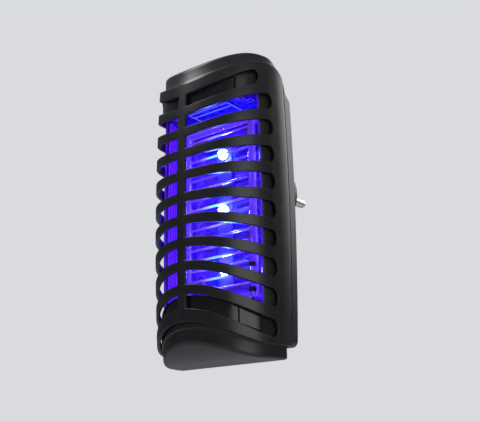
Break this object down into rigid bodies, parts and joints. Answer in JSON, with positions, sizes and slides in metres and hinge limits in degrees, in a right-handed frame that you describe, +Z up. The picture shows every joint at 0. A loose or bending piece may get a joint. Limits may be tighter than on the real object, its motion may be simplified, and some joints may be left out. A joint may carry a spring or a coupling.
{
  "type": "plug-in electric bug zapper",
  "caption": "Bow-fronted slotted cage on a mains plug, with violet lights behind a high-voltage wire grid and a pull-down insect tray.",
  "frame": {"origin": "centre of the plug's end face, between its pins", "axes": "+Y along the pins into the socket, +Z up, +X to the right when facing the wall; the bowed front faces -Y"},
  "size_m": [0.076, 0.0962, 0.1574],
  "materials": {
    "black_shell": "satin black moulded plastic",
    "pale_reflector": "pale moulded plastic, lit violet in use",
    "clear_frame": "pale clear plastic",
    "steel_grid": "bright drawn wire",
    "led_lens": "clear violet lens",
    "board_white": "white board lacquer",
    "board_green": "green board lacquer",
    "header_black": "matt",
    "capacitor_box": "moulded box",
    "capacitor_sleeve": "shrunk sleeve",
    "diode_body": "moulded epoxy",
    "resistor_body": "lacquered ceramic",
    "pin_metal": "nickel plate",
    "strap_brass": "stamped sheet",
    "lead_red": "insulated lead",
    "lead_black": "insulated lead",
    "screw_steel": "zinc plate"
  },
  "bodies": {
    "housing": {"front_cage": "black_shell", "top_cap": "black_shell", "rear_housing": "black_shell", "inner_tub": "black_shell", "plug_base": "black_shell", "reflector": "pale_reflector", "side_reflector_left": "pale_reflector", "side_reflector_right": "pale_reflector", "upper_reflector": "pale_reflector", "grid_frame": "clear_frame", "live_grid": "steel_grid", "return_grid": "steel_grid", "uv_led_upper": "led_lens", "uv_led_middle": "led_lens", "uv_led_lower": "led_lens", "led_board": "board_white", "driver_board": "board_green", "board_header": "header_black", "dropper_capacitor": "capacitor_box", "multiplier_capacitor_1": "capacitor_box", "multiplier_capacitor_2": "capacitor_box", "multiplier_capacitor_3": "capacitor_box", "multiplier_capacitor_4": "capacitor_box", "smoothing_capacitor": "capacitor_sleeve", "multiplier_diode_1": "diode_body", "multiplier_diode_2": "diode_body", "multiplier_diode_3": "diode_body", "multiplier_diode_4": "diode_body", "bleed_resistor": "resistor_body", "plug_pin_left": "pin_metal", "plug_pin_right": "pin_metal", "contact_strap_left": "strap_brass", "contact_strap_right": "strap_brass", "hv_lead_live": "lead_red", "hv_lead_return": "lead_black", "housing_screw_1": "screw_steel", "housing_screw_2": "screw_steel", "housing_screw_3": "screw_steel", "housing_screw_4": "screw_steel"},
    "tray": {"insect_tray": "black_shell"}
  },
  "joints": [
    {"name": "tray_slide", "type": "slide", "parent": "housing", "child": "tray", "axis": [0, 0, -1], "range_m": [0, 0.022]}
  ]
}
